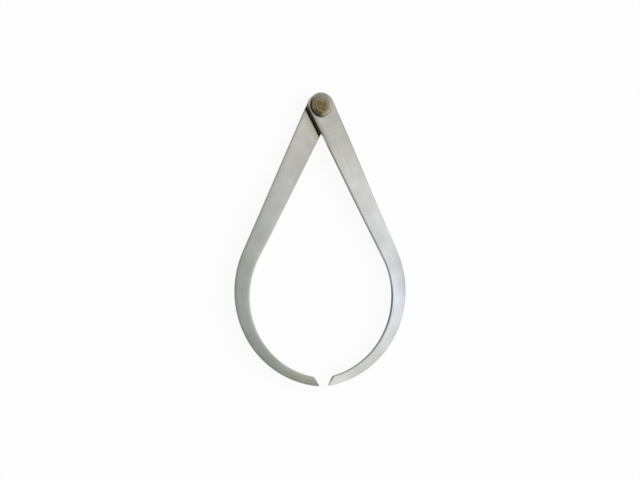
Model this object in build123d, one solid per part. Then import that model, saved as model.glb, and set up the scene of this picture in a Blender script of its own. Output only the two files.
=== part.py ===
from build123d import *
import os
from math import asin, cos, degrees, radians, sin, sqrt

# Firm-joint outside caliper, lying on its back. The joint's centre is the origin, the legs
# point towards -Y and +Z looks up out of the front. The leg on the -X side is the rear one
# and stays still. The leg on the +X side lies over it and turns about +Z.
# All lengths are in millimetres and all angles in degrees.

# Legs: one flat steel blank, used twice, the second one turned over
REACH = 200.0           # joint's centre to the measuring point, before its corner is rounded
POINT_GAP = 6.3         # from one measuring point to the other, as the legs stand
LEG_THICK = 3.0
HEAD_RADIUS = 9.5       # round end of a leg at the joint
LEG_LEAN = 25.9         # middle of the straight stretch, from the caliper's centre line
LEG_TAPER = 3.3         # between the two edges of the straight stretch
OUTER_RUN = 119.0       # straight stretch of the outer edge, before the bow
INNER_RUN = 118.5       # straight stretch of the inner edge, before the bow
POINT_FACE = 7.9        # slanting cut that ends a leg
POINT_SLANT = 30.0      # slope of that cut, from the caliper's centre line
POINT_ROUND = 0.5       # corner that touches the work
HEEL_ROUND = 1.2        # blunt corner at the other end of the cut
EDGE_BEVEL = 0.5        # eased edges all round a leg

# Set bend: brings each leg from its own level at the joint to the level they share
SET_START = 22.0        # from the joint's centre
SET_LENGTH = 75.0

# Joint: brass rivet, spread at both ends into the coned seats of the two outer washers
SHANK_RADIUS = 3.2
SHANK_FIT = 0.05        # between the shank and every bore that it passes
SPREAD_RADIUS = 4.3     # spread end of the rivet, where it leaves its seat
SPREAD_PROUD = 0.2      # how far that end stands out of the washer
SPREAD_BEVEL = 0.12
SEAT_DEPTH = 1.4        # coned seat in a washer
SEAT_FIT = 0.03         # between the spread end and its seat
WASHER_RADIUS = 7.8
WASHER_THICK = 2.6
WASHER_RIM = 0.8        # upright part of the edge, below the cone
WASHER_TOP_RADIUS = 5.2 # flat ring round the seat
LINER_RADIUS = 7.8      # thin washer between the legs
LINER_THICK = 0.4

# Levels of the stack, from the face that the joint rests on
REAR_WASHER_Z = SPREAD_PROUD
REAR_LEG_Z = REAR_WASHER_Z + WASHER_THICK
LINER_Z = REAR_LEG_Z + LEG_THICK
FRONT_LEG_Z = LINER_Z + LINER_THICK
FRONT_WASHER_Z = FRONT_LEG_Z + LEG_THICK
STACK_HEIGHT = FRONT_WASHER_Z + WASHER_THICK + SPREAD_PROUD
MIDDLE_Z = LINER_Z + LINER_THICK / 2

BORE_RADIUS = SHANK_RADIUS + SHANK_FIT


def direction(angle):
    """Unit vector in plan, down the leg, at an angle from the centre line towards -X."""
    return Vector(-sin(radians(angle)), -cos(radians(angle)))


def outer_side(angle):
    """Unit vector in plan, square to the leg and away from the other leg."""
    return Vector(-cos(radians(angle)), sin(radians(angle)))


def leg_outline():
    """Plan of the rear leg: round head, two edges that close in, the bow and the point."""
    outer_lean = LEG_LEAN - LEG_TAPER / 2
    inner_lean = LEG_LEAN + LEG_TAPER / 2
    point = Vector(-POINT_GAP / 2, -sqrt(REACH**2 - (POINT_GAP / 2) ** 2))
    heel = point - direction(-POINT_SLANT) * POINT_FACE

    outer_start = outer_side(outer_lean) * HEAD_RADIUS
    inner_start = outer_side(inner_lean) * -HEAD_RADIUS
    outer_edge = Line(outer_start, outer_start + direction(outer_lean) * OUTER_RUN)
    inner_edge = Line(inner_start, inner_start + direction(inner_lean) * INNER_RUN)
    outer_bow = TangentArc(outer_edge @ 1, point, tangent=outer_edge % 1)
    inner_bow = TangentArc(inner_edge @ 1, heel, tangent=inner_edge % 1)
    head = ThreePointArc(inner_start, direction(LEG_LEAN) * -HEAD_RADIUS, outer_start)
    cut = Line(point, heel)

    plan = make_face([head, outer_edge, outer_bow, cut, inner_bow, inner_edge])
    for corner, radius in ((point, POINT_ROUND), (heel, HEEL_ROUND)):
        plan = fillet(plan.vertices().sort_by_distance(corner)[0], radius)
    return plan


def set_bend(offset):
    """One face of the leg from the side: level, two equal arcs that step it up, level."""
    rise = MIDDLE_Z - (REAR_LEG_Z + LEG_THICK / 2)
    radius = (SET_LENGTH**2 + rise**2) / (4 * rise)
    angle = degrees(asin(SET_LENGTH / (2 * radius)))
    near = Line((-2 * HEAD_RADIUS, offset), (SET_START, offset))
    up = JernArc(near @ 1, near % 1, radius - offset, angle)
    level = JernArc(up @ 1, up % 1, radius + offset, -angle)
    far = Line(level @ 1, (SET_START + SET_LENGTH + REACH, (level @ 1).Y))
    return [near, up, level, far]


def leg_sheet():
    """Wide sheet with the set bend in it, which the outline is cut out of."""
    lower = set_bend(-LEG_THICK / 2)
    upper = set_bend(LEG_THICK / 2)
    ends = [Line(lower[0] @ 0, upper[0] @ 0), Line(lower[-1] @ 1, upper[-1] @ 1)]
    section = make_face(lower + upper + ends)
    side_view = Plane(
        origin=(0, 0, REAR_LEG_Z + LEG_THICK / 2),
        x_dir=direction(LEG_LEAN),
        z_dir=outer_side(LEG_LEAN),
    )
    return extrude(side_view * section, amount=REACH, both=True)


def rear_leg():
    """The leg that stays still, bored for the rivet, with its edges eased."""
    leg = extrude(leg_outline(), amount=STACK_HEIGHT) & leg_sheet()
    walls = leg.faces().filter_by(lambda face: abs(face.normal_at().Z) < 0.1)
    rims = walls.edges().filter_by(Axis.Z, reverse=True)
    leg = chamfer(rims, EDGE_BEVEL)
    return leg - Pos(Z=STACK_HEIGHT / 2) * Cylinder(BORE_RADIUS, STACK_HEIGHT)


def front_leg(rear):
    """The same blank turned over about the line midway between the legs."""
    return Pos(Z=MIDDLE_Z) * Rot(Y=180) * Pos(Z=-MIDDLE_Z) * rear


def rivet():
    """Shank and its two spread ends in one piece, turned about the joint's axis."""
    end = STACK_HEIGHT / 2
    washer_top = end - SPREAD_PROUD
    profile = Polyline(
        (0, 0),
        (SHANK_RADIUS, 0),
        (SHANK_RADIUS, washer_top - SEAT_DEPTH),
        (SPREAD_RADIUS, washer_top),
        (SPREAD_RADIUS, end),
        (0, end),
        close=True,
    )
    section = make_face(profile)
    rim = section.vertices().sort_by_distance((SPREAD_RADIUS, end))[0]
    upper = revolve(Plane.XZ * chamfer(rim, SPREAD_BEVEL), Axis.Z)
    return Pos(Z=end) * (upper + mirror(upper, Plane.XY))


def washer():
    """Coned ring that lies flat on a leg, with a seat for the rivet's spread end."""
    profile = Polyline(
        (BORE_RADIUS, 0),
        (WASHER_RADIUS, 0),
        (WASHER_RADIUS, WASHER_RIM),
        (WASHER_TOP_RADIUS, WASHER_THICK),
        (SPREAD_RADIUS + SEAT_FIT, WASHER_THICK),
        (BORE_RADIUS, WASHER_THICK - SEAT_DEPTH),
        close=True,
    )
    return revolve(Plane.XZ * make_face(profile), Axis.Z)


def liner():
    """Thin ring that keeps the legs apart and gives the joint its drag."""
    ring = Cylinder(LINER_RADIUS, LINER_THICK) - Cylinder(BORE_RADIUS, LINER_THICK)
    return Pos(Z=MIDDLE_Z) * ring


def build():
    """Every piece of the caliper by name, where it sits in the finished tool."""
    rear = rear_leg()
    return {
        "rear_leg": rear,
        "front_leg": front_leg(rear),
        "rivet": rivet(),
        "rear_washer": Pos(Z=REAR_LEG_Z) * Rot(Y=180) * washer(),
        "front_washer": Pos(Z=FRONT_WASHER_Z) * washer(),
        "friction_washer": liner(),
    }


os.makedirs("parts", exist_ok=True)
for name, shape in build().items():
    export_step(shape, f"parts/{name}.step")
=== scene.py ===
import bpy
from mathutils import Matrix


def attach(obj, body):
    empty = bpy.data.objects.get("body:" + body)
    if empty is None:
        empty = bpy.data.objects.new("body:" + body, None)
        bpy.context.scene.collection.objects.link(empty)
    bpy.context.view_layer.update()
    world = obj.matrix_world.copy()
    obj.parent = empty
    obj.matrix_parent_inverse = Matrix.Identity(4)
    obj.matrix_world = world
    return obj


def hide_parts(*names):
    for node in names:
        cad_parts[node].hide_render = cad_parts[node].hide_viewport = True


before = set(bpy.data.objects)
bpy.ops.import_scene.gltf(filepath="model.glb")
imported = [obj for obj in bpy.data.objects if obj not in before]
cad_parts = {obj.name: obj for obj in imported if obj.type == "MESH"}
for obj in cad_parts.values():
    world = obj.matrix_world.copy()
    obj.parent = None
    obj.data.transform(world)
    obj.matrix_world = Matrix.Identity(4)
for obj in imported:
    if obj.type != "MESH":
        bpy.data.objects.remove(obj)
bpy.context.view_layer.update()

import logging
import math
from dataclasses import dataclass, field
from enum import Enum

import bmesh
import bpy
from mathutils import Matrix, Vector, noise

log = logging.getLogger("caliper")

# The frame is in metres. Sizes here are in millimetres and angles in degrees, unless a class says
# otherwise.
MM = 0.001
NEAR_AXIS = 0.1  # least distance from the joint's axis that anything is divided by

Colour = tuple[float, float, float]
Stops = tuple[tuple[float, Colour], ...]  # places and the colours there
Levels = tuple[tuple[float, float], ...]  # places and the numbers there
Profile = tuple[tuple[float, float], ...]  # radius and height of each corner of a turned piece
Step = tuple[float, float]  # where a smooth step leaves 0, and where it reaches 1


def paint(red: int, green: int, blue: int) -> Colour:
    """A colour in linear light, from a picture's red, green and blue of 0 to 255."""
    shares = (red / 255, green / 255, blue / 255)
    return tuple(s / 12.92 if s <= 0.04045 else ((s + 0.055) / 1.055) ** 2.4 for s in shares)


WHITE: Colour = (1.0, 1.0, 1.0)


class Side(Enum):
    """Which side of the caliper's centre line a leg stands on."""

    REAR = -1
    FRONT = 1


class Graph:
    """A material's or the world's nodes, all made by one method."""

    def __init__(self, owner: bpy.types.ID) -> None:
        """Takes over the nodes of a material or the world, and empties them.

        Args:
            owner: The material or the world.
        """
        owner.use_nodes = True
        self.owner = owner
        self.tree = owner.node_tree
        self.tree.nodes.clear()

    def node(self, kind: str, settings: dict | None = None, inputs: dict | None = None) -> bpy.types.Node:
        """Adds one node.

        Args:
            kind: The node's type without its leading word, such as "Math" or "TexNoise".
            settings: The node's own settings, which are set first. "stops" fills a ramp.
            inputs: Values or links by socket name or number.

        Returns:
            The new node.
        """
        made = self.tree.nodes.new("ShaderNode" + kind)
        for key, value in (settings or {}).items():
            if key == "stops":
                self._fill_ramp(made.color_ramp, value)
            else:
                setattr(made, key, value)
        for key, value in (inputs or {}).items():
            self._feed(made.inputs[key], value)
        return made

    def signal(
        self, kind: str, output: str | int, settings: dict | None = None, inputs: dict | None = None
    ) -> "Signal":
        """Adds one node, as node does, and wraps one of its outputs, ready for arithmetic."""
        return Signal(self, self.node(kind, settings, inputs).outputs[output])

    def _feed(self, socket: bpy.types.NodeSocket, value: object) -> None:
        """Links or sets one input socket.

        Args:
            socket: The socket.
            value: A signal or socket to link, or a plain value.
        """
        if isinstance(value, Signal):
            self.tree.links.new(value.socket, socket)
        elif isinstance(value, bpy.types.NodeSocket):
            self.tree.links.new(value, socket)
        elif socket.type == "RGBA" and len(value) == 3:
            socket.default_value = (*value, 1.0)
        else:
            socket.default_value = value

    @staticmethod
    def _fill_ramp(ramp: bpy.types.ColorRamp, stops: Stops) -> None:
        """Gives a new colour ramp its stops.

        Args:
            ramp: The ramp, with the two stops that it comes with.
            stops: Places from 0 to 1 and their colours, in order.
        """
        while len(ramp.elements) < len(stops):
            ramp.elements.new(0.5)
        for element, (place, colour) in zip(ramp.elements, stops):
            element.position = place
            element.color = (*colour, 1.0)


class Signal:
    """A socket's number, colour or vector, which takes part in Python's arithmetic."""

    def __init__(self, graph: Graph, socket: bpy.types.NodeSocket) -> None:
        """Wraps an output socket of a graph."""
        self.graph = graph
        self.socket = socket

    def _math(self, operation: str, *terms: object) -> "Signal":
        """A Math node on these terms."""
        return self.graph.signal("Math", 0, {"operation": operation}, dict(enumerate(terms)))

    def __add__(self, other: object) -> "Signal":
        """self + other"""
        return self._math("ADD", self, other)

    def __radd__(self, other: object) -> "Signal":
        """other + self"""
        return self._math("ADD", other, self)

    def __sub__(self, other: object) -> "Signal":
        """self - other"""
        return self._math("SUBTRACT", self, other)

    def __rsub__(self, other: object) -> "Signal":
        """other - self"""
        return self._math("SUBTRACT", other, self)

    def __mul__(self, other: object) -> "Signal":
        """self * other"""
        return self._math("MULTIPLY", self, other)

    def __rmul__(self, other: object) -> "Signal":
        """other * self"""
        return self._math("MULTIPLY", other, self)

    def __truediv__(self, other: object) -> "Signal":
        """self / other"""
        return self._math("DIVIDE", self, other)

    def __pow__(self, other: object) -> "Signal":
        """self ** other"""
        return self._math("POWER", self, other)

    def __abs__(self) -> "Signal":
        """The size of a number without its sign."""
        return self._math("ABSOLUTE", self)

    def at_most(self, other: object) -> "Signal":
        """The smaller of two numbers."""
        return self._math("MINIMUM", self, other)

    def at_least(self, other: object) -> "Signal":
        """The larger of two numbers."""
        return self._math("MAXIMUM", self, other)

    def above(self, other: object) -> "Signal":
        """1 where the number is larger than other, else 0."""
        return self._math("GREATER_THAN", self, other)

    def angle_from(self, base: "Signal") -> "Signal":
        """Angle of the point (base, self), from -pi to pi."""
        return self._math("ARCTAN2", self, base)

    def hypot(self, other: "Signal") -> "Signal":
        """Distance from the origin of the point (self, other)."""
        return (self * self + other * other) ** 0.5

    def swing(self, amount: object) -> "Signal":
        """How far a number from 0 to 1 stands from its middle, times an amount."""
        return (self - 0.5) * amount

    def rise(self, start: float, end: float) -> "Signal":
        """A smooth step.

        Args:
            start: Where the step leaves 0, which may be above end.
            end: Where the step reaches 1.

        Returns:
            A number from 0 to 1.
        """
        low, high, first, last = (start, end, 0.0, 1.0) if start < end else (end, start, 1.0, 0.0)
        settings = {"interpolation_type": "SMOOTHSTEP"}
        inputs = {"Value": self, "From Min": low, "From Max": high, "To Min": first, "To Max": last}
        return self.graph.signal("MapRange", 0, settings, inputs)

    def blend(self, first: object, second: object) -> "Signal":
        """A colour that goes from first to second as this number goes from 0 to 1."""
        settings = {"data_type": "RGBA", "blend_type": "MIX"}
        return self.graph.signal("Mix", 2, settings, {0: self, 6: first, 7: second})

    def shaded(self, shade: "Signal") -> "Signal":
        """This colour times a number.

        Args:
            shade: The number, above 1 to lighten and below 1 to darken.

        Returns:
            The shaded colour.
        """
        grey = self.graph.signal("CombineXYZ", 0, inputs={0: shade, 1: shade, 2: shade})
        settings = {"data_type": "RGBA", "blend_type": "MULTIPLY"}
        return self.graph.signal("Mix", 2, settings, {0: 1.0, 6: self, 7: grey})


def down(x: Signal, y: Signal, lean: float) -> Signal:
    """Distance down a line that leans so many degrees out from the centre line."""
    return x * math.sin(math.radians(lean)) - y * math.cos(math.radians(lean))


def out(x: Signal, y: Signal, lean: float) -> Signal:
    """Distance outwards, square to such a line."""
    return x * math.cos(math.radians(lean)) + y * math.sin(math.radians(lean))


@dataclass(frozen=True)
class Lumps:
    """A smooth noise: its lumps per unit, the number of finer layers and their strength."""

    scale: float
    layers: float = 2.0
    strength: float = 0.5


class Surface:
    """The start and end of one material: its coordinates and its shader.

    Attributes:
        x, y, z: A place on the piece, in millimetres.
        spot: The same place as one vector.
    """

    def __init__(self, name: str) -> None:
        """Opens a new material with the object's own coordinates.

        Args:
            name: The material's name.
        """
        self.graph = Graph(bpy.data.materials.new(name))
        place = self.graph.signal("TexCoord", "Object")
        parts = self.graph.node("SeparateXYZ", inputs={0: place}).outputs
        self.x, self.y, self.z = (Signal(self.graph, part) / MM for part in parts)
        self.spot = self.vector(self.x, self.y, self.z)

    def vector(self, x: object, y: object, z: object) -> Signal:
        """Three numbers as one vector."""
        return self.graph.signal("CombineXYZ", 0, inputs={0: x, 1: y, 2: z})

    def up(self) -> Signal:
        """How far the surface faces up, from -1 to 1."""
        facing = self.graph.signal("TexCoord", "Normal")
        return self.graph.signal("SeparateXYZ", 2, inputs={0: facing})

    def radius(self) -> Signal:
        """Distance from the joint's axis."""
        return self.x.hypot(self.y)

    def towards(self, way: float) -> Signal:
        """How nearly a place lies in one direction from the joint's axis, from -1 to 1."""
        return out(self.x, self.y, way) / self.radius().at_least(NEAR_AXIS)

    def noise(self, where: Signal, lumps: Lumps) -> Signal:
        """Smooth noise from about 0.2 to 0.8.

        Args:
            where: The place, in any unit.
            lumps: The noise's size and fineness.

        Returns:
            The noise as a number.
        """
        inputs = {
            "Vector": where, "Scale": lumps.scale, "Detail": lumps.layers, "Roughness": lumps.strength,
        }
        return self.graph.signal("TexNoise", 0, {"noise_dimensions": "3D"}, inputs)

    def ramp(self, number: Signal, stops: Stops) -> Signal:
        """A colour read off a smooth ramp.

        Args:
            number: Where to read, from 0 to 1.
            stops: Places and their colours.

        Returns:
            The colour at that place.
        """
        made = self.graph.node("ValToRGB", {"stops": stops}, {0: number})
        made.color_ramp.interpolation = "EASE"
        return Signal(self.graph, made.outputs[0])

    def level(self, number: Signal, stops: Levels) -> Signal:
        """A number read off a smooth ramp.

        Args:
            number: Where to read, from 0 to 1.
            stops: Places and their values, which may be above 1.

        Returns:
            The value at that place.
        """
        values = [value for _, value in stops]
        low = min(values)
        span = (max(values) - low) or 1.0
        greys = tuple((place, ((value - low) / span,) * 3) for place, value in stops)
        return self.ramp(number, greys) * span + low

    def close(self, colour: Signal, rough: Signal, relief: Signal, depth: float) -> bpy.types.Material:
        """Ends the material as bare metal.

        Args:
            colour: Its colour.
            rough: Its roughness.
            relief: Its relief, in shares of the depth.
            depth: The relief's depth in millimetres.

        Returns:
            The finished material.
        """
        inputs = {"Height": relief, "Distance": depth * MM, "Strength": 1.0}
        normal = self.graph.signal("Bump", 0, inputs=inputs)
        inputs = {"Base Color": colour, "Metallic": 1.0, "Roughness": rough, "Normal": normal}
        shader = self.graph.node("BsdfPrincipled", inputs=inputs)
        self.graph.node("OutputMaterial", inputs={"Surface": shader.outputs[0]})
        return self.graph.owner


@dataclass(frozen=True)
class EdgeLine:
    """One long edge of a leg: a straight run from the joint, then the arc of the bow.

    Sizes in plan, on the leg's own side of the centre line.
    """

    lean: float
    offset: float
    run: float
    centre_x: float
    centre_y: float
    radius: float


@dataclass(frozen=True)
class LegPlan:
    """The plan of a leg's blank, as the solid has it."""

    reach: float = 200.0
    point_gap: float = 6.3
    head_radius: float = 9.5
    lean: float = 25.9
    taper: float = 3.3
    outer_run: float = 119.0
    inner_run: float = 118.5
    point_face: float = 7.9
    point_slant: float = 30.0
    length: float = 236.0

    def outer(self) -> EdgeLine:
        """The edge away from the other leg."""
        return self._edge(self.lean - self.taper / 2, self.head_radius, self.outer_run, self._point())

    def inner(self) -> EdgeLine:
        """The edge towards the other leg.

        Returns:
            Its run and its arc, which ends at the heel of the slanting cut.
        """
        slant = math.radians(self.point_slant)
        heel = self._point() + Vector((math.sin(slant), math.cos(slant))) * self.point_face
        return self._edge(self.lean + self.taper / 2, -self.head_radius, self.inner_run, heel)

    def _point(self) -> Vector:
        """The measuring point."""
        half_gap = self.point_gap / 2
        return Vector((half_gap, -math.sqrt(self.reach**2 - half_gap**2)))

    def _edge(self, lean: float, offset: float, run: float, end: Vector) -> EdgeLine:
        """Works out the arc that leaves a straight run smoothly and meets the leg's end.

        Args:
            lean: The run's angle from the centre line.
            offset: The run's distance from the joint's centre, outwards.
            run: Its length.
            end: Where the arc ends.

        Returns:
            The run and its arc.
        """
        sine, cosine = math.sin(math.radians(lean)), math.cos(math.radians(lean))
        outwards = Vector((cosine, sine))
        start = outwards * offset + Vector((sine, -cosine)) * run
        chord = start - end
        radius = chord.dot(chord) / (2 * chord.dot(outwards))
        centre = start - outwards * radius
        return EdgeLine(lean, offset, run, centre.x, centre.y, radius)


@dataclass(frozen=True)
class LegPlace:
    """Where a place on the surface lies on its leg.

    It gives the distance along the leg from the joint's centre, the distances into the leg from
    its two long edges, and how far the place lies clear of the other leg's inner edge, as the legs
    stand in the photograph.
    """

    along: Signal
    from_outer: Signal
    from_inner: Signal
    beside_other: Signal


@dataclass(frozen=True)
class SoilAndShade:
    """Marks laid over a leg's clean colour, some in patches, and painted shadow beside raised parts.

    Of each mark, least is its strength without patches, patchy what the patches add, share its
    greatest strength and fade its edge.
    """

    patches: Lumps = Lumps(0.35, 3.0, 0.6)

    def over(self, surface: Surface, colour: Signal, place: LegPlace) -> Signal:
        """Lays the marks and any painted shadow over the clean colour, at a place on the leg."""
        raise NotImplementedError


@dataclass(frozen=True)
class WarmTintAndShadowLine(SoilAndShade):
    """A warm tint and a painted shadow on the rear leg's front face, beside the line where the other leg
    lies over it.
    """

    near_joint: Step = (44.0, 34.0)
    warm: Colour = paint(142, 125, 86)
    warm_fade: Step = (7.0, 2.0)
    warm_least: float = 0.12
    warm_patchy: float = 0.4
    dark: Colour = paint(9, 7, 3)
    shadow_outside: Step = (2.9, 1.5)
    shadow_inside: Step = (-2.0, -0.5)
    core: Step = (-0.1, 0.75)
    core_share: float = 0.75
    facing_up: Step = (0.2, 0.6)

    def over(self, surface: Surface, colour: Signal, place: LegPlace) -> Signal:
        """Lays a warm tint over the steel and, over that, a painted shadow of the other leg's raised edge.

        Args:
            surface: The material in the making.
            colour: The clean colour.
            place: The place on the leg.

        Returns:
            The colour with its tint and painted shadow.
        """
        patch = surface.noise(surface.spot, self.patches)
        near = place.along.rise(*self.near_joint)
        beside = place.beside_other
        warm = beside.rise(*self.warm_fade) * (self.warm_least + patch * self.warm_patchy) * near
        # A painted shadow beside the other leg's edge, crisp on its outer side.
        line = beside.rise(*self.shadow_outside) * beside.rise(*self.shadow_inside) * near
        line = line * ((1.0 - self.core_share) + beside.rise(*self.core) * self.core_share)
        line = line * surface.up().rise(*self.facing_up)
        return line.blend(warm.blend(colour, self.warm), self.dark)


@dataclass(frozen=True)
class JointTintsAndShadow(SoilAndShade):
    """On the front leg: a patchy haze round the washer, a darker band along the edge that crosses, and a
    painted shadow at the washer's base.
    """

    haze: Colour = paint(122, 121, 104)
    haze_way: float = 120.0
    haze_spread: Step = (-0.1, 0.85)
    haze_fade: Step = (12.0, 8.5)
    haze_least: float = 0.08
    haze_patchy: float = 0.6
    haze_share: float = 0.7
    edge: Colour = paint(112, 104, 88)
    edge_near_joint: Step = (38.0, 16.0)
    edge_fade: Step = (4.0, 0.0)
    edge_least: float = 0.5
    edge_patchy: float = 0.4
    edge_share: float = 0.65
    foot_shadow: Colour = paint(32, 26, 11)
    foot_shadow_way: float = 211.0
    foot_shadow_spread: Step = (-0.05, 0.85)
    foot_shadow_fade: Step = (9.4, 8.4)
    foot_shadow_share: float = 0.95

    def over(self, surface: Surface, colour: Signal, place: LegPlace) -> Signal:
        """Lays the haze, then the darker band along the edge, then the painted shadow at the washer's base.

        Args:
            surface: The material in the making.
            colour: The clean colour.
            place: The place on the leg.

        Returns:
            The colour with its marks and painted shadow.
        """
        patch = surface.noise(surface.spot, self.patches)
        radius = surface.radius()
        dense = surface.towards(self.haze_way).rise(*self.haze_spread)
        dense = self.haze_least + dense * (self.haze_patchy + patch * self.haze_patchy)
        haze = (radius.rise(*self.haze_fade) * dense).at_most(1.0)
        # A darker brown-grey band along the inner edge near the joint.
        edge = place.from_inner.rise(*self.edge_fade) * place.along.rise(*self.edge_near_joint)
        edge = (edge * (self.edge_least + patch * self.edge_patchy)).at_most(1.0)
        # A painted shadow round the washer's base, on its lower left side, away from the light.
        foot_shadow = radius.rise(*self.foot_shadow_fade) * surface.towards(self.foot_shadow_way).rise(*self.foot_shadow_spread)
        colour = (haze * self.haze_share).blend(colour, self.haze)
        colour = (edge * self.edge_share).blend(colour, self.edge)
        return (foot_shadow * self.foot_shadow_share).blend(colour, self.foot_shadow)


@dataclass(frozen=True)
class LegSteel:
    """Plated steel with a soft grain along the leg, and painted highlight and shade along its edges.

    Tones and levels hold at places along the leg. The tones carry the steel's tint and also painted
    light and shade along it. Every shade multiplies the tone and is painted light or shade: crossing is
    what it gains from the outer edge to the inner one, a rim its painted highlight or shade right at an
    edge, as on a rounded edge, and walls and bevels the painted light and shade of those faces. A tilt is
    a step in how far a face looks up or down.
    """

    side: Side
    soil_and_shade: SoilAndShade
    tones: Stops
    crossing: Levels
    outer_rim: float
    inner_rim: Levels
    outer_walls: Levels
    inner_walls: Levels
    outer_bevels: Levels
    inner_bevels: Levels
    rim_width: float = 3.2
    least_width: float = 1.0
    wall_tilt: Step = (0.5, 0.2)
    bevel_tilt: Step = (0.97, 0.8)
    cloud: Lumps = Lumps(0.1, 3.0)
    cloud_shade: float = 0.2
    cloud_rough: float = 0.1
    grain: Lumps = Lumps(1.0)
    grain_along: float = 0.03
    grain_across: float = 0.7
    grain_shade: float = 0.04
    grain_rough: float = 0.08
    grain_depth: float = 0.002
    roughness: float = 0.27
    plan: LegPlan = LegPlan()

    def material(self) -> bpy.types.Material:
        """Builds the finish.

        Returns:
            The leg's material.
        """
        surface = Surface(f"{self.side.name.lower()}_leg_steel")
        place = self._place(surface)
        share = place.along / self.plan.length
        # The tone ramp holds the steel's tint and also painted light and shade along the leg.
        tone = surface.ramp(share, self._shares(self.tones))
        cloud = surface.noise(surface.vector(place.along, place.from_outer, surface.z), self.cloud)
        across = self.grain_across
        fine = surface.vector(place.along * self.grain_along, place.from_outer * across, surface.z * across)
        grain = surface.noise(fine, self.grain)
        shade = 1.0 + cloud.swing(self.cloud_shade) + grain.swing(self.grain_shade)
        shade = shade * self._edges(surface, place, share)
        shade = shade * self._wall(surface, place, share)
        colour = self.soil_and_shade.over(surface, tone.shaded(shade), place)
        rough = self.roughness + cloud.swing(self.cloud_rough) + grain.swing(self.grain_rough)
        return surface.close(colour, rough, grain, self.grain_depth)

    def _place(self, surface: Surface) -> LegPlace:
        """Finds a place on the leg.

        Args:
            surface: The material in the making.

        Returns:
            Its place along and across the leg.
        """
        plan = self.plan
        x = surface.x * float(self.side.value)
        y = surface.y
        outer, inner = plan.outer(), plan.inner()
        middle_x = (outer.centre_x + inner.centre_x) / 2
        middle_y = (outer.centre_y + inner.centre_y) / 2
        lean = math.radians(plan.lean)
        start = middle_x * math.sin(lean) - middle_y * math.cos(lean)
        run = down(x, y, plan.lean)
        bowed = run.above(start)
        turned = (run - start).angle_from(out(x - middle_x, y - middle_y, plan.lean))
        bow = turned * ((outer.radius + inner.radius) / 2) + start
        return LegPlace(
            along=run * (1.0 - bowed) + bow * bowed,
            from_outer=self._from_edge(x, y, outer, 1.0),
            from_inner=self._from_edge(x, y, inner, -1.0),
            beside_other=0.0 - out(x * -1.0, y, inner.lean) - plan.head_radius,
        )

    @staticmethod
    def _from_edge(x: Signal, y: Signal, edge: EdgeLine, sign: float) -> Signal:
        """Distance into the leg from one of its long edges.

        Args:
            x: Place outwards from the centre line.
            y: Place along the centre line.
            edge: The edge.
            sign: 1 for the outer edge and -1 for the inner one.

        Returns:
            Millimetres from the edge, positive inside the leg.
        """
        straight = (edge.offset - out(x, y, edge.lean)) * sign
        rounded = (edge.radius - (x - edge.centre_x).hypot(y - edge.centre_y)) * sign
        bowed = down(x, y, edge.lean).above(edge.run)
        return straight * (1.0 - bowed) + rounded * bowed

    def _shares(self, stops: Stops | Levels) -> Stops | Levels:
        """The same stops, placed by shares of the leg's length."""
        return tuple((run / self.plan.length, value) for run, value in stops)

    def _read(self, surface: Surface, share: Signal, levels: Levels) -> Signal:
        """Reads a number that changes along the leg."""
        return surface.level(share, self._shares(levels))

    def _edges(self, surface: Surface, place: LegPlace, share: Signal) -> Signal:
        """Painted shade across the leg: a slow change from edge to edge, and painted highlight or shade at
        the rims.

        Args:
            surface: The material in the making.
            place: The place on the leg.
            share: The place along the leg from 0 to 1.

        Returns:
            A number to multiply the tone by.
        """
        width = (place.from_outer + place.from_inner).at_least(self.least_width)
        # Painted shade that changes slowly from one long edge to the other.
        slow = 1.0 + (place.from_outer / width).swing(self._read(surface, share, self.crossing))
        # Painted highlight or shade at each long edge.
        outer = self._rim(place.from_outer, self.outer_rim)
        inner = self._rim(place.from_inner, self._read(surface, share, self.inner_rim))
        return slow * outer * inner

    def _rim(self, distance: Signal, gain: object) -> Signal:
        """Painted highlight or shade near an edge, as a rounded edge shows it; it gains this much right at
        the edge.
        """
        near = (1.0 - distance / self.rim_width).at_least(0.0).at_most(1.0)
        return 1.0 + near * near * gain

    def _wall(self, surface: Surface, place: LegPlace, share: Signal) -> Signal:
        """Painted light and shade of the upright walls and of the bevels beside them.

        Args:
            surface: The material in the making.
            place: The place on the leg.
            share: The place along the leg from 0 to 1.

        Returns:
            A number to multiply the tone by.
        """
        up = abs(surface.up())
        wall = up.rise(*self.wall_tilt)
        bevel = up.rise(*self.bevel_tilt) * (1.0 - wall)
        inner = (place.from_outer - place.from_inner).above(0.0)
        # How much painted light or shade the walls and bevels get, on each side along the leg.
        walls = self._sided(surface, share, inner, self.outer_walls, self.inner_walls)
        bevels = self._sided(surface, share, inner, self.outer_bevels, self.inner_bevels)
        return (1.0 + wall * (walls - 1.0)) * (1.0 + bevel * (bevels - 1.0))

    def _sided(
        self, surface: Surface, share: Signal, inner: Signal, outer_levels: Levels, inner_levels: Levels
    ) -> Signal:
        """Reads a number that differs between the leg's two sides.

        Args:
            surface: The material in the making.
            share: The place along the leg from 0 to 1.
            inner: 1 on the side towards the other leg and 0 on the outer side.
            outer_levels: What holds on the outer side.
            inner_levels: What holds on the inner side.

        Returns:
            The number at that place.
        """
        outwards = self._read(surface, share, outer_levels)
        inwards = self._read(surface, share, inner_levels)
        return outwards + inner * (inwards - outwards)


@dataclass(frozen=True)
class SideShade:
    """A painted shade or highlight on one side of the joint's axis, which spreads round from one direction.
    """

    colour: Colour
    way: float
    spread: Step
    share: float


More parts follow.
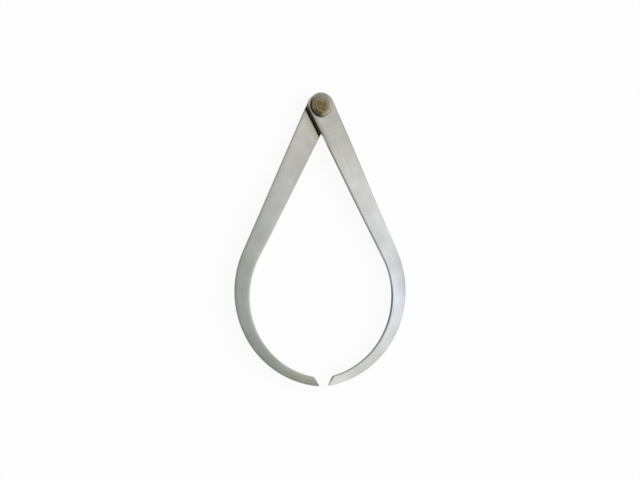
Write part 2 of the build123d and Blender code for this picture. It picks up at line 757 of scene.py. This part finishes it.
@dataclass(frozen=True)
class WasherBrass:
    """Tarnished brass washer, its tint painted paler on the side towards the light and browner on the side
    away from it, as light and shade.

    The ring is the flat top, the crack the dark line round the rivet's end, and a painted shadow lies on
    the upright rim, all by their distance from the joint's axis.
    """

    name: str = "washer_brass_tarnished"
    pale: Colour = paint(145, 144, 135)
    brown: Colour = paint(134, 125, 98)
    pale_way: float = 45.0
    pale_spread: Step = (-0.75, 0.8)
    pale_patchy: float = 0.9
    tarnish: Lumps = Lumps(0.45, 4.0, 0.6)
    tarnish_shade: float = 0.3
    tarnish_rough: float = 0.2
    lathe: Lumps = Lumps(1.0)
    lathe_lines: float = 3.0
    lathe_shade: float = 0.22
    lathe_depth: float = 0.02
    ring: Colour = paint(134, 124, 94)
    ring_fade: Step = (6.2, 5.1)
    ring_share: float = 0.75
    ring_lit_side: float = 0.3
    cone: Step = (5.0, 6.0)
    # A painted shade on the cone's shaded side and a painted highlight on its lit side.
    side_shades: tuple[SideShade, ...] = (
        SideShade(paint(80, 71, 44), 238.0, (0.8, 0.98), 0.75),
        SideShade(paint(160, 151, 128), 294.0, (0.84, 0.97), 0.8),
    )
    crack: Colour = paint(66, 58, 38)
    crack_fade: Step = (4.62, 4.4)
    crack_share: float = 0.35
    foot_shadow: Colour = paint(36, 31, 17)
    foot_shadow_fade: Step = (7.6, 7.85)
    foot_shadow_share: float = 0.8
    roughness: float = 0.5

    def material(self) -> bpy.types.Material:
        """Builds the finish.

        Returns:
            The washer's material.
        """
        surface = Surface(self.name)
        radius = surface.radius()
        tarnish = surface.noise(surface.spot, self.tarnish)
        turned = surface.vector(radius * self.lathe_lines, surface.z * self.lathe_lines, 0.0)
        lathe = surface.noise(turned, self.lathe)
        # Painted light and shade: the brass's tint goes pale towards the light and brown away from it.
        lit_side = surface.towards(self.pale_way) + tarnish.swing(self.pale_patchy)
        lit_side = lit_side.rise(*self.pale_spread)
        colour = lit_side.blend(self.brown, self.pale)
        # The flat top's own colour, laid thinner on the lit side as painted light.
        ring = radius.rise(*self.ring_fade) * (self.ring_share - lit_side * self.ring_lit_side)
        colour = ring.blend(colour, self.ring)
        cone = radius.rise(*self.cone)
        for side_shade in self.side_shades:
            spread = surface.towards(side_shade.way).rise(*side_shade.spread) * cone
            colour = (spread * side_shade.share).blend(colour, side_shade.colour)
        # The dark line round the rivet's end, a real dark joint, made darker away from the light as painted
        # shade.
        crack = radius.rise(*self.crack_fade) * (self.crack_share + (1.0 - lit_side) * self.crack_share)
        colour = crack.blend(colour, self.crack)
        colour = colour.shaded(1.0 + lathe.swing(self.lathe_shade) + tarnish.swing(self.tarnish_shade))
        # A painted shadow on the upright rim, on the side away from the light.
        foot_shadow = radius.rise(*self.foot_shadow_fade) * (1.0 - lit_side) * self.foot_shadow_share
        colour = foot_shadow.blend(colour, self.foot_shadow)
        rough = self.roughness + tarnish.swing(self.tarnish_rough)
        return surface.close(colour, rough, lathe, self.lathe_depth)


@dataclass(frozen=True)
class Spot:
    """A round stain about a middle in plan, which fades outwards."""

    colour: Colour
    x: float
    y: float
    fade: Step
    share: float


@dataclass(frozen=True)
class RivetBrass:
    """Dull olive brass, hammered and scratched both ways, with a painted highlight on its rim on one side.
    """

    name: str = "rivet_brass_hammered"
    olive: Colour = paint(116, 107, 73)
    dark: Colour = paint(88, 79, 46)
    patches: Lumps = Lumps(0.5, 3.0, 0.6)
    dark_patches: Step = (0.62, 0.36)
    patch_shade: float = 0.3
    patch_rough: float = 0.2
    pale: Colour = paint(146, 138, 108)
    rim: Step = (1.8, 4.0)
    rim_way: tuple[float, float] = (0.87, 0.5)
    rim_spread: Step = (-1.5, 3.0)
    rim_share: float = 0.65
    spots: tuple[Spot, ...] = (
        Spot(paint(146, 138, 108), -0.6, 3.2, (2.0, 0.6), 0.75),
        Spot(paint(124, 100, 80), 2.6, -1.8, (2.2, 0.5), 0.75),
    )
    scratches: Lumps = Lumps(1.0)
    scratches_across: float = 5.0
    scratches_along: float = 0.8
    scratches_apart: float = 4.0
    scratch_middle: float = 0.55
    scratch_shade: float = 0.6
    scratch_depth: float = 0.03
    roughness: float = 0.45

    def material(self) -> bpy.types.Material:
        """Builds the finish.

        Returns:
            The rivet's material.
        """
        surface = Surface(self.name)
        patch = surface.noise(surface.spot, self.patches)
        colour = patch.rise(*self.dark_patches).blend(self.olive, self.dark)
        # A painted highlight on the rim, on the side towards the light.
        rim_x, rim_y = self.rim_way
        rim = surface.radius().rise(*self.rim)
        rim = rim * (surface.x * rim_x + surface.y * rim_y).rise(*self.rim_spread)
        colour = (rim * self.rim_share).blend(colour, self.pale)
        for spot in self.spots:
            near = (surface.x - spot.x).hypot(surface.y - spot.y).rise(*spot.fade)
            colour = (near * spot.share).blend(colour, spot.colour)
        rising = self._scratches(surface, surface.x + surface.y, 0.0)
        falling = self._scratches(surface, surface.x - surface.y, self.scratches_apart)
        scratch = rising.at_least(falling)
        shade = 1.0 + (scratch - self.scratch_middle) * self.scratch_shade + patch.swing(self.patch_shade)
        rough = self.roughness + patch.swing(self.patch_rough)
        return surface.close(colour.shaded(shade), rough, scratch, self.scratch_depth)

    def _scratches(self, surface: Surface, across: Signal, place: float) -> Signal:
        """Noise of scratches, by the distance across them and their own place in the noise."""
        where = surface.vector(across * self.scratches_across, surface.y * self.scratches_along, place)
        return surface.noise(where, self.scratches)


@dataclass(frozen=True)
class LinerSteel:
    """Oiled dark steel of the thin washer between the legs."""

    name: str = "liner_steel_dark"
    clean: Colour = paint(74, 71, 62)
    oily: Colour = paint(30, 27, 18)
    oil: Lumps = Lumps(0.7, 3.0, 0.6)
    oil_spread: Step = (0.35, 0.6)
    oil_rough: float = 0.3
    oil_depth: float = 0.01
    roughness: float = 0.35

    def material(self) -> bpy.types.Material:
        """Builds the finish.

        Returns:
            The liner's material.
        """
        surface = Surface(self.name)
        oil = surface.noise(surface.spot, self.oil)
        colour = oil.rise(*self.oil_spread).blend(self.clean, self.oily)
        return surface.close(colour, self.roughness + oil * self.oil_rough, oil, self.oil_depth)


@dataclass
class Turned:
    """A piece turned about the joint's axis, which stands for one of the frame's solids.

    The node is that solid. A ring's profile closes on itself, and any other starts and ends on
    the axis. Corners sharper than sharp_angle are rounded.
    """

    name: str
    node: str
    slot: str
    profile: Profile
    ring: bool = True
    body: str = "rear_half"
    steps: int = 96
    merge: float = 0.001
    round_edge: float = 0.14
    round_steps: int = 3
    sharp_angle: float = 18.0

    def build(self, material: bpy.types.Material) -> bpy.types.Object:
        """Turns the piece, rounds its edges and dresses it.

        Args:
            material: Its finish.

        Returns:
            The finished piece.
        """
        shape = bmesh.new()
        self._turn(shape)
        self._round(shape)
        self._work(shape)
        bmesh.ops.recalc_face_normals(shape, faces=shape.faces)
        for face in shape.faces:
            face.smooth = True
        mesh = bpy.data.meshes.new(self.name)
        shape.to_mesh(mesh)
        shape.free()
        mesh.materials.append(material)
        piece = bpy.data.objects.new(self.name, mesh)
        bpy.context.scene.collection.objects.link(piece)
        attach(piece, self.body)
        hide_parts(self.node)
        return piece

    def _turn(self, shape: bmesh.types.BMesh) -> None:
        """Spins the profile once round the axis.

        Args:
            shape: The empty mesh that takes the turned skin.
        """
        places = [shape.verts.new((radius * MM, 0.0, height * MM)) for radius, height in self.profile]
        pairs = list(zip(places, places[1:]))
        if self.ring:
            pairs.append((places[-1], places[0]))
        lines = [shape.edges.new(pair) for pair in pairs]
        bmesh.ops.spin(
            shape, geom=places + lines, cent=(0.0, 0.0, 0.0), axis=(0.0, 0.0, 1.0),
            angle=math.tau, steps=self.steps, use_merge=True,
        )
        bmesh.ops.remove_doubles(shape, verts=shape.verts, dist=self.merge * MM)
        bmesh.ops.recalc_face_normals(shape, faces=shape.faces)

    def _round(self, shape: bmesh.types.BMesh) -> None:
        """Rounds the turned corners.

        Args:
            shape: The turned skin.
        """
        limit = math.radians(self.sharp_angle)
        corners = [
            edge for edge in shape.edges
            if len(edge.link_faces) == 2 and edge.calc_face_angle() > limit
        ]
        bmesh.ops.bevel(
            shape, geom=corners, offset=self.round_edge * MM, segments=self.round_steps, profile=0.5,
            affect="EDGES", material=-1, clamp_overlap=True,
        )

    def _work(self, shape: bmesh.types.BMesh) -> None:
        """Further work on the turned skin, which a plain piece does not have."""


@dataclass
class HammeredRivet(Turned):
    """The rivet, whose two spread ends are hammered flat.

    The marks lie below low and above high, no further from the axis than end_radius.
    """

    ring: bool = False
    round_edge: float = 0.08
    dent_depth: float = 0.09
    dent_size: float = 1.5
    fine_dents: float = 2.3
    fine_share: float = 0.4
    end_radius: float = 3.9
    low: float = 0.2
    high: float = 11.8

    def _work(self, shape: bmesh.types.BMesh) -> None:
        """Sinks shallow hammer marks into both ends.

        Args:
            shape: The turned skin.
        """
        for vertex in shape.verts:
            height = vertex.co.z / MM
            radius = math.hypot(vertex.co.x, vertex.co.y) / MM
            if self.low < height < self.high or radius > self.end_radius:
                continue
            spot = vertex.co / (self.dent_size * MM)
            mark = abs(noise.noise(spot)) + self.fine_share * abs(noise.noise(spot * self.fine_dents))
            depth = min(mark, 1.0) * self.dent_depth * MM
            vertex.co.z += depth if height < self.low else -depth


@dataclass
class Joint:
    """The rivet, its two washers and the liner.

    The rivet's ends lie in coned seats. A crown is the slightly domed face of an end, out to
    crown_share of its radius, and the drops are the depths below its middle.
    """

    front_washer_z: float = 9.2
    rear_washer_z: float = 2.8
    bore: float = 3.25
    washer_radius: float = 7.8
    washer_rim: float = 0.8
    washer_thick: float = 2.6
    top_radius: float = 5.2
    seat_radius: float = 4.33
    seat_depth: float = 1.4
    shank: float = 3.2
    spread: float = 4.3
    spread_proud: float = 0.2
    rim_drop: float = 0.16
    crown_drop: float = 0.06
    crown_share: float = 0.93
    crown_rings: int = 14
    height: float = 12.0

    def build(self) -> list[bpy.types.Object]:
        """Builds and dresses every piece of the joint.

        Returns:
            The front washer, the rear washer, the rivet and the liner.
        """
        front = Turned(
            "front_washer_turned", "front_washer", "washer_brass",
            self._washer_profile(self.front_washer_z, 1.0),
        )
        rear = Turned(
            "rear_washer_turned", "rear_washer", "washer_brass",
            self._washer_profile(self.rear_washer_z, -1.0),
        )
        rivet = HammeredRivet("rivet_hammered", "rivet", "rivet_brass", self._rivet_profile())
        brass = WasherBrass().material()
        turned = [front.build(brass), rear.build(brass), rivet.build(RivetBrass().material())]
        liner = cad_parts["friction_washer"]
        liner.material_slots[0].material = LinerSteel().material()
        return turned + [liner]

    def _washer_profile(self, level: float, sign: float) -> Profile:
        """Section of a coned washer.

        Args:
            level: Height of the face that lies on the leg.
            sign: 1 where the washer stands up from it and -1 where it hangs down.

        Returns:
            Radius and height of each corner.
        """
        corners = (
            (self.bore, 0.0),
            (self.washer_radius, 0.0),
            (self.washer_radius, self.washer_rim),
            (self.top_radius, self.washer_thick),
            (self.seat_radius, self.washer_thick),
            (self.bore, self.washer_thick - self.seat_depth),
        )
        return tuple((radius, level + sign * height) for radius, height in corners)

    def _rivet_profile(self) -> Profile:
        """Section of the rivet, from the middle of its front end to the middle of its rear end.

        Returns:
            Radius and height of each place.
        """
        crown = []
        for ring in range(self.crown_rings + 1):
            radius = self.spread * self.crown_share * ring / self.crown_rings
            drop = self.crown_drop * (ring / self.crown_rings) ** 2
            crown.append((radius, self.height - drop))
        seat = self.height - self.spread_proud
        side = [
            (self.spread, self.height - self.rim_drop),
            (self.spread, seat),
            (self.shank, seat - self.seat_depth),
            (self.shank, self.height / 2),
        ]
        upper = crown + side
        lower = [(radius, self.height - height) for radius, height in reversed(upper[:-1])]
        return tuple(upper + lower)


@dataclass
class Leg:
    """One leg of the caliper, the frame's own solid with its steel finish."""

    node: str
    finish: LegSteel

    def dress(self) -> bpy.types.Object:
        """Gives the leg its steel.

        Returns:
            The dressed leg.
        """
        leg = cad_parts[self.node]
        leg.material_slots[0].material = self.finish.material()
        return leg


@dataclass
class Studio:
    """Pale floor, one soft lamp and a pale room for a world, in metres and watts."""

    floor_size: float = 8.0
    floor_colour: Colour = (0.90, 0.90, 0.90)
    floor_glow: float = 0.9
    left_level: float = 0.55
    right_level: float = 1.05
    right_side: Step = (-0.5, 0.8)
    horizon: Step = (0.35, 0.08)
    key_power: float = 18.0
    key_size: float = 2.0
    key_place: tuple[float, float, float] = (1.6, 0.1, 1.05)
    key_aim: tuple[float, float, float] = (0.0, -0.1, 0.0)

    def build(self) -> None:
        """Builds the floor, the world and the lamp."""
        self._floor()
        self._world()
        self._lamp()

    def _floor(self) -> None:
        """Lays the floor at the level that the caliper rests on."""
        shape = bmesh.new()
        bmesh.ops.create_grid(shape, x_segments=1, y_segments=1, size=self.floor_size / 2)
        mesh = bpy.data.meshes.new("floor")
        shape.to_mesh(mesh)
        shape.free()
        floor = bpy.data.objects.new("floor", mesh)
        bpy.context.scene.collection.objects.link(floor)
        mesh.materials.append(self._floor_white())

    def _floor_white(self) -> bpy.types.Material:
        """Builds the floor's finish: chalky to the object, and glowing white to the eye.

        Returns:
            The floor's material.
        """
        white = bpy.data.materials.new("floor_white")
        white.cycles.emission_sampling = "NONE"
        graph = Graph(white)
        chalk = graph.node("BsdfDiffuse", inputs={"Color": self.floor_colour})
        glow = graph.node("Emission", inputs={"Color": WHITE, "Strength": 1.0})
        ray = graph.node("LightPath")
        straight = Signal(graph, ray.outputs["Is Camera Ray"])
        mirrored = Signal(graph, ray.outputs["Is Glossy Ray"])
        through = Signal(graph, ray.outputs["Is Transmission Ray"])
        seen = straight.at_least(mirrored).at_least(through) * self.floor_glow
        mix = graph.node("MixShader", inputs={0: seen, 1: chalk.outputs[0], 2: glow.outputs[0]})
        graph.node("OutputMaterial", inputs={"Surface": mix.outputs[0]})
        return white

    def _world(self) -> None:
        """Builds a pale room, softly brighter on the right and white down at the horizon."""
        world = bpy.data.worlds.new("studio")
        bpy.context.scene.world = world
        graph = Graph(world)
        way = graph.node("TexCoord").outputs["Generated"]
        x, _, z = (Signal(graph, part) for part in graph.node("SeparateXYZ", inputs={0: way}).outputs)
        level = x.rise(*self.right_side) * (self.right_level - self.left_level) + self.left_level
        low = z.rise(*self.horizon)
        level = level * (1.0 - low) + low
        room = graph.node("Background", inputs={"Color": WHITE, "Strength": level})
        graph.node("OutputWorld", inputs={"Surface": room.outputs[0]})

    def _lamp(self) -> None:
        """Hangs one square soft lamp that looks at the caliper."""
        lamp = bpy.data.lights.new("key", "AREA")
        lamp.shape = "SQUARE"
        lamp.size = self.key_size
        lamp.energy = self.key_power
        hung = bpy.data.objects.new("key", lamp)
        bpy.context.scene.collection.objects.link(hung)
        place = Vector(self.key_place)
        hung.location = place
        hung.rotation_mode = "QUATERNION"
        hung.rotation_quaternion = (Vector(self.key_aim) - place).to_track_quat("-Z", "Y")


@dataclass
class PhotoCamera:
    """The camera where the photograph was taken.

    Seen from the target, it stands so many degrees left of and below straight up, as left and
    below are in the picture. The focal length is in picture widths.
    """

    target: Vector = field(default_factory=lambda: Vector((-1.2, -96.34, 5.05)))
    distance: float = 579.2
    left: float = 17.0
    below: float = 2.66
    roll: float = -0.58
    focal_share: float = 809.7 / 640.0
    sensor: float = 36.0
    nearest: float = 10.0
    furthest: float = 50000.0

    def build(self) -> bpy.types.Object:
        """Places the camera and makes it the scene's own.

        Returns:
            The camera.
        """
        left, below, roll = (math.radians(angle) for angle in (self.left, self.below, self.roll))
        lift = math.cos(below)
        back = Vector((-math.sin(left) * lift, -math.sin(below), math.cos(left) * lift))
        up = (Vector((0.0, 1.0, 0.0)) - back * back.y).normalized()
        right = up.cross(back)
        side = right * math.cos(roll) + up * math.sin(roll)
        top = up * math.cos(roll) - right * math.sin(roll)
        lens = bpy.data.cameras.new("photo_camera")
        lens.sensor_width = self.sensor
        lens.lens = self.focal_share * self.sensor
        lens.clip_start = self.nearest * MM
        lens.clip_end = self.furthest * MM
        camera = bpy.data.objects.new("photo_camera", lens)
        bpy.context.scene.collection.objects.link(camera)
        turn = Matrix((side, top, back)).transposed().to_4x4()
        camera.matrix_world = Matrix.Translation((self.target + back * self.distance) * MM) @ turn
        bpy.context.scene.camera = camera
        return camera


# What changes along a leg, from the joint's centre at 0 to the measuring point at 236. The tones
# hold the steel's tint and painted light and shade; the crossing, rims, walls and bevels are painted
# light and shade.
REAR_STEEL = LegSteel(
    side=Side.REAR,
    soil_and_shade=WarmTintAndShadowLine(),
    tones=(
        (0.0, paint(194, 190, 182)),
        (75.0, paint(187, 187, 183)),
        (112.0, paint(178, 182, 175)),
        (134.0, paint(168, 173, 166)),
        (160.0, paint(164, 171, 164)),
        (190.0, paint(151, 157, 148)),
        (232.0, paint(156, 160, 147)),
    ),
    crossing=((0.0, 0.1), (30.0, -0.06), (70.0, 0.03), (90.0, 0.14), (236.0, 0.14)),
    outer_rim=-0.22,
    inner_rim=(
        (0.0, -0.12), (50.0, -0.06), (90.0, 0.06), (118.0, 0.38),
        (165.0, 0.68), (195.0, 0.5), (236.0, 0.3),
    ),
    outer_walls=((0.0, 0.7), (236.0, 0.6)),
    inner_walls=((0.0, 0.7), (236.0, 0.6)),
    outer_bevels=((0.0, 0.8), (118.0, 0.8), (236.0, 1.0)),
    inner_bevels=((0.0, 0.7), (90.0, 0.85), (118.0, 1.0), (236.0, 1.0)),
)
FRONT_STEEL = LegSteel(
    side=Side.FRONT,
    soil_and_shade=JointTintsAndShadow(),
    tones=(
        (0.0, paint(188, 186, 177)),
        (30.0, paint(183, 182, 175)),
        (52.0, paint(194, 194, 190)),
        (112.0, paint(199, 201, 202)),
        (130.0, paint(195, 197, 201)),
        (155.0, paint(206, 211, 218)),
        (186.0, paint(202, 204, 203)),
        (212.0, paint(197, 200, 194)),
        (231.0, paint(217, 218, 212)),
    ),
    crossing=(
        (0.0, 0.12), (50.0, 0.2), (72.0, -0.08), (105.0, -0.08), (118.0, 0.2),
        (140.0, 0.45), (165.0, 0.1), (200.0, 0.05), (236.0, -0.15),
    ),
    outer_rim=-0.06,
    inner_rim=((0.0, -0.12), (110.0, -0.12), (150.0, -0.22), (190.0, -0.08), (236.0, -0.05)),
    outer_walls=((0.0, 0.8), (236.0, 0.6)),
    inner_walls=(
        (0.0, 1.2), (6.0, 2.0), (20.0, 1.9), (32.0, 0.2), (50.0, 0.25), (90.0, 0.45), (136.0, 0.42),
        (152.0, 0.1), (180.0, 0.2), (200.0, 0.4), (222.0, 0.35), (230.0, 0.08),
    ),
    outer_bevels=((0.0, 0.9), (236.0, 0.9)),
    inner_bevels=(
        (0.0, 1.4), (20.0, 1.3), (30.0, 0.9), (132.0, 0.8), (152.0, 0.4), (180.0, 0.6), (236.0, 0.7),
    ),
)


def main() -> None:
    """Builds the caliper's pieces, its studio and its camera in order, and reports each one."""
    logging.basicConfig(level=logging.INFO, format="%(name)s %(message)s")
    bpy.context.scene.view_settings.view_transform = "Standard"
    legs = [Leg("rear_leg", REAR_STEEL).dress(), Leg("front_leg", FRONT_STEEL).dress()]
    for piece in legs + Joint().build():
        finish = piece.material_slots[0].material
        log.info("%s: %d faces, %s", piece.name, len(piece.data.polygons), finish.name)
    Studio().build()
    log.info("studio: floor, world and lamp")
    camera = PhotoCamera().build()
    log.info("%s: %.0f mm focal length", camera.name, camera.data.lens)


if __name__ == "__main__":
    main()
